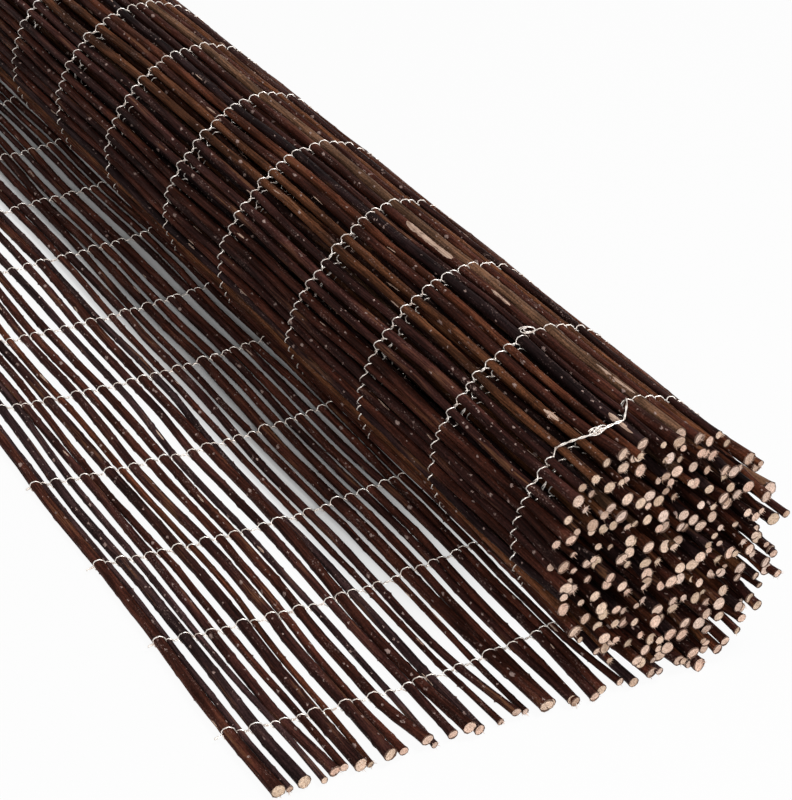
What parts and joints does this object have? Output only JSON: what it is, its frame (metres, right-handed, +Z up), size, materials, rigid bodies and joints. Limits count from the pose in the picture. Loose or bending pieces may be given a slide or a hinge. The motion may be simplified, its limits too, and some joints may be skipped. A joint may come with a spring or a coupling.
{
  "type": "rolled willow screen",
  "caption": "Willow screen of unpeeled rods bound side by side with twisted wire, mostly rolled up, with its free end laid flat on the ground.",
  "frame": {"origin": "under the middle of the whole screen, on the ground", "axes": "+Y along the rods, from the near ends seen in the picture to the far ends; +Z up; the flat stretch lies towards -X and the roll towards +X"},
  "size_m": [0.3718, 1.2398, 0.1691],
  "materials": {
    "bark": "matte unpeeled bark, pale where cut",
    "wire": "dull galvanised"
  },
  "bodies": {
    "root": {"roll_turn_1_rods": "bark", "roll_turn_2_rods": "bark", "roll_turn_3_rods": "bark", "roll_turn_4_rods": "bark", "roll_turn_5_rods": "bark", "roll_turn_6_rods": "bark", "roll_turn_7_rods": "bark", "roll_turn_8_rods": "bark", "tail_rod_01": "bark", "tail_rod_02": "bark", "tail_rod_03": "bark", "tail_rod_04": "bark", "tail_rod_05": "bark", "tail_rod_06": "bark", "tail_rod_07": "bark", "tail_rod_08": "bark", "tail_rod_09": "bark", "tail_rod_10": "bark", "tail_rod_11": "bark", "tail_rod_12": "bark", "tail_rod_13": "bark", "tail_rod_14": "bark", "tail_rod_15": "bark", "tail_rod_16": "bark", "tail_rod_17": "bark", "tail_rod_18": "bark", "tail_rod_19": "bark", "tail_rod_20": "bark", "tail_rod_21": "bark", "tail_rod_22": "bark", "tail_rod_23": "bark", "tail_rod_24": "bark", "tail_rod_25": "bark", "tail_rod_26": "bark", "tail_rod_27": "bark", "tail_rod_28": "bark", "tail_rod_29": "bark", "wire_row_01": "wire", "wire_row_02": "wire", "wire_row_03": "wire", "wire_row_04": "wire", "wire_row_05": "wire", "wire_row_06": "wire", "wire_row_07": "wire", "wire_row_08": "wire", "wire_row_09": "wire", "wire_row_10": "wire", "wire_row_11": "wire", "wire_row_12": "wire"}
  },
  "joints": []
}
